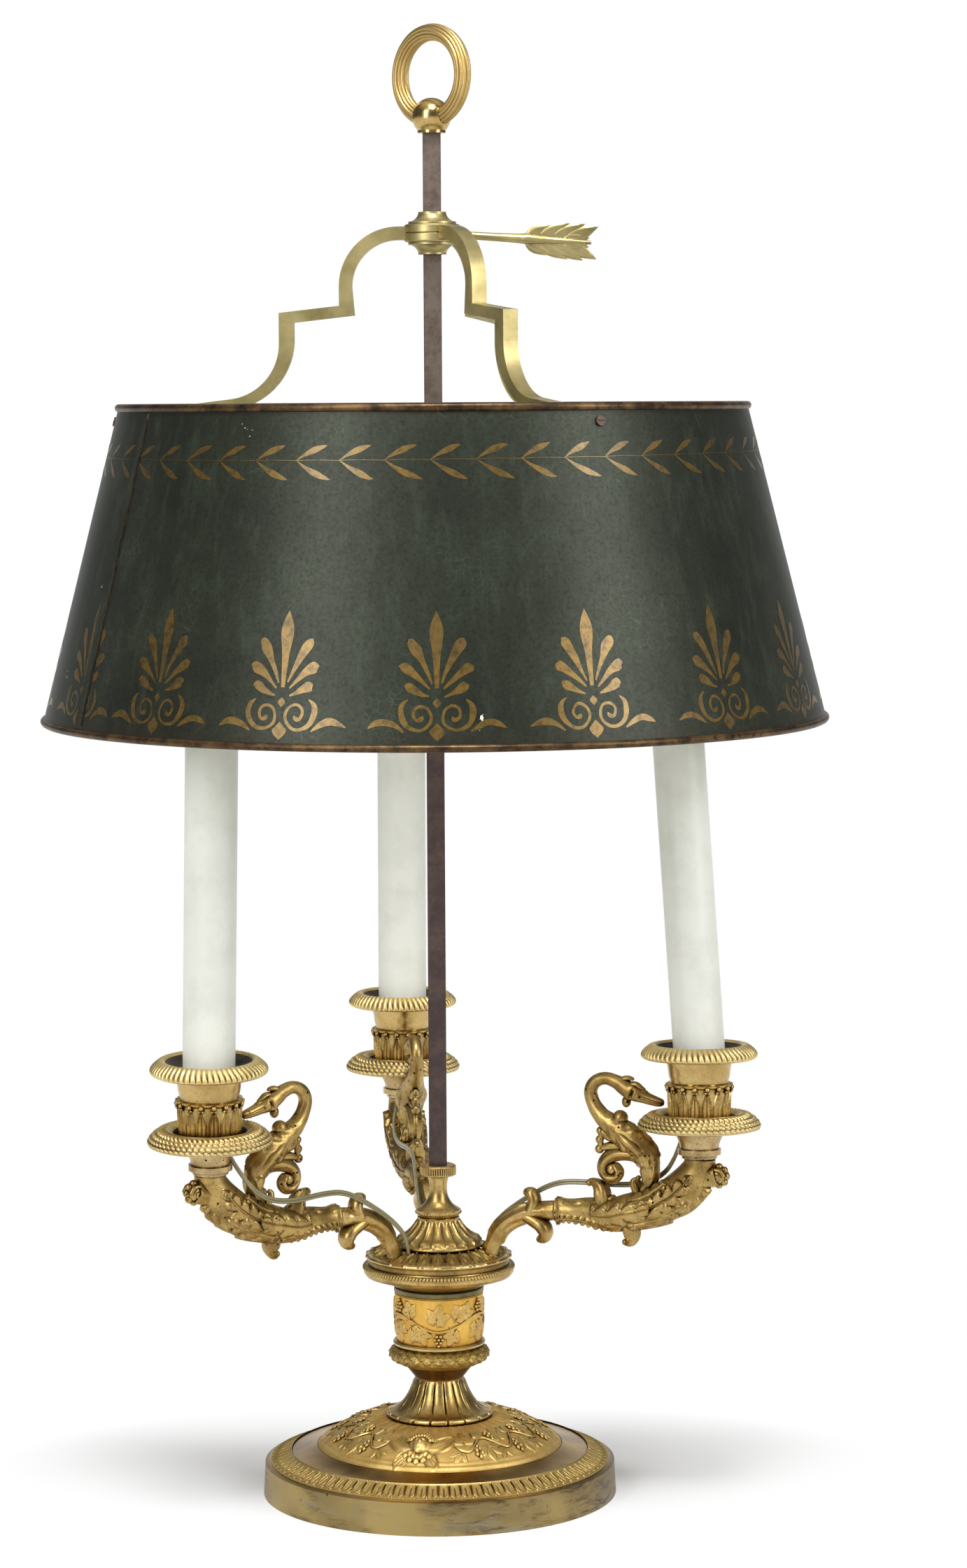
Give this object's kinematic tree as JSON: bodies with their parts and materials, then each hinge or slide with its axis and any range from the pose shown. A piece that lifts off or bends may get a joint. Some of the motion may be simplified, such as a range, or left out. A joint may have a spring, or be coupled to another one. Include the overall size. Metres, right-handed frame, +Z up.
{
  "type": "table lamp",
  "caption": "Bouillotte table lamp: gilt brass stand, horn arms with swans and candle lights, and a painted sheet shade that slides on an iron rod under an arrow-shaped key.",
  "frame": {"origin": "middle of the underside of the base, on the surface that the lamp stands on", "axes": "+Z up along the iron rod; the front faces -Y; the arrow key points to +X"},
  "size_m": [0.3839, 0.384, 0.72],
  "materials": {
    "gilt": "gilt brass, chased and burnished, with dark wear in the hollows",
    "matt_gilt": "matt gilt brass with vine relief",
    "red_gilt": "worn gilding gone coppery red",
    "bracket_brass": "satin brass, slightly green",
    "rim_gilt": "gilding worn to copper brown",
    "iron": "dark brown patinated wrought iron",
    "steel": "plain steel, slightly brown",
    "painted_sheet": "dark green hand-painted sheet iron with gold ornament, cream inside",
    "candle": "off-white candle tube",
    "holder": "black lampholder",
    "bulb_glass": "clear flame-shaped bulb",
    "wire": "clear twin flex"
  },
  "bodies": {
    "stand": {"base_plinth": "gilt", "base_dome": "gilt", "clamp_plate": "steel", "base_nut": "steel", "tie_rod": "steel", "fluted_foot": "gilt", "stem_cup": "red_gilt", "leaf_torus": "gilt", "vine_drum": "matt_gilt", "platform": "gilt", "leaf_collar": "gilt", "fluted_bell": "gilt", "rod_socket": "gilt", "rod": "iron", "finial_ring": "gilt", "finial_ball": "gilt", "candle_nipples": "steel", "arm_root_right": "gilt", "arm_horn_right": "gilt", "swan_right": "gilt", "arm_wire_right": "wire", "drip_pan_right": "gilt", "candle_cup_right": "gilt", "nozzle_rim_right": "gilt", "candle_sleeve_right": "candle", "lampholder_right": "holder", "bulb_right": "bulb_glass", "arm_root_left": "gilt", "arm_horn_left": "gilt", "swan_left": "gilt", "arm_wire_left": "wire", "drip_pan_left": "gilt", "candle_cup_left": "gilt", "nozzle_rim_left": "gilt", "candle_sleeve_left": "candle", "lampholder_left": "holder", "bulb_left": "bulb_glass", "arm_root_back": "gilt", "arm_horn_back": "gilt", "swan_back": "gilt", "arm_wire_back": "wire", "drip_pan_back": "gilt", "candle_cup_back": "gilt", "nozzle_rim_back": "gilt", "candle_sleeve_back": "candle", "lampholder_back": "holder", "bulb_back": "bulb_glass"},
    "shade": {"shade_sheet": "painted_sheet", "shade_top_rim": "rim_gilt", "shade_bottom_rim": "rim_gilt", "hub_body": "bracket_brass", "hub_top_cap": "bracket_brass", "hub_bottom_cap": "bracket_brass", "bracket_arm_1": "bracket_brass", "bracket_arm_2": "bracket_brass", "bracket_arm_3": "bracket_brass", "shade_screws": "steel"},
    "key": {"arrow_key": "bracket_brass"}
  },
  "joints": [
    {"name": "shade_slide", "type": "slide", "parent": "stand", "child": "shade", "axis": [0, 0, 1], "range_m": [-0.24, 0.036]},
    {"name": "arrow_turn", "type": "hinge", "parent": "shade", "child": "key", "pos_m": [0, 0, 0.6197], "axis": [0.9979, 0, -0.0645], "range_deg": [0, 360]}
  ]
}
